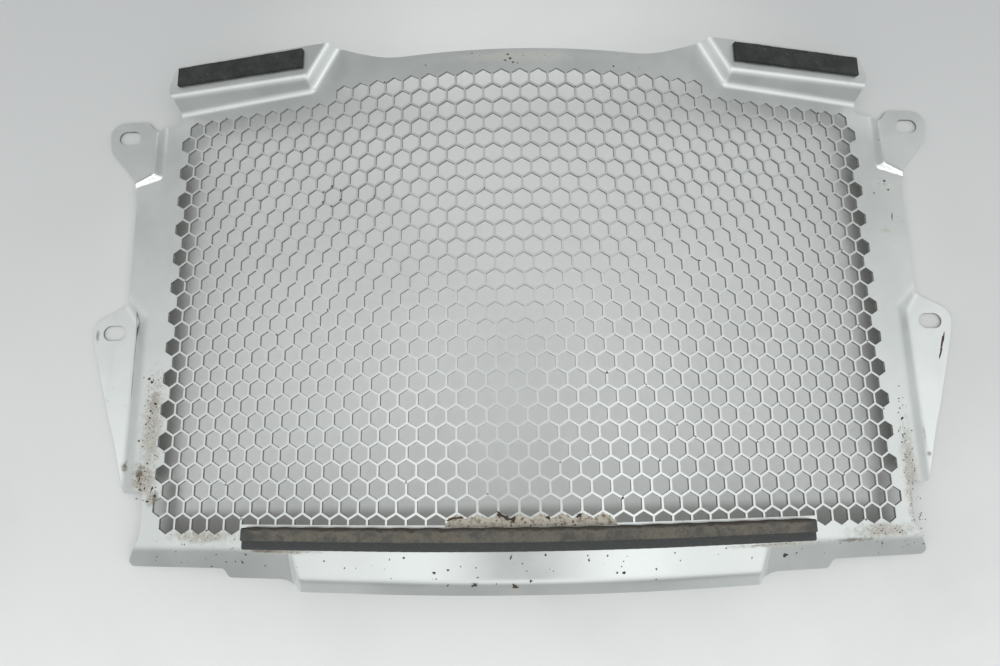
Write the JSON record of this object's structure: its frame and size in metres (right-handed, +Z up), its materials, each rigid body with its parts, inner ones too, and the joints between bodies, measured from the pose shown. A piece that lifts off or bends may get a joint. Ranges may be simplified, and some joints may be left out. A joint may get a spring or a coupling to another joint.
{
  "type": "motorcycle radiator guard",
  "caption": "Arched sheet-metal radiator guard with a honeycomb mesh, slotted side tabs, raised corner platforms with foam pads and a bent lower flange.",
  "frame": {"origin": "centre of the base of the bounding box, as the guard lies on its four mounting faces with the crown of its arch up", "axes": "+X across the guard, +Y toward its upper edge with the two foam-covered platforms, +Z up, the way the sheet arches"},
  "size_m": [0.4476, 0.2654, 0.0502],
  "materials": {
    "sheet": "matte satin, used, with dirt along the edges",
    "foam": "matte closed-cell foam, dusty"
  },
  "bodies": {
    "root": {"guard_panel": "sheet", "left_foam_pad": "foam", "right_foam_pad": "foam", "lower_foam_strip": "foam"}
  },
  "joints": []
}
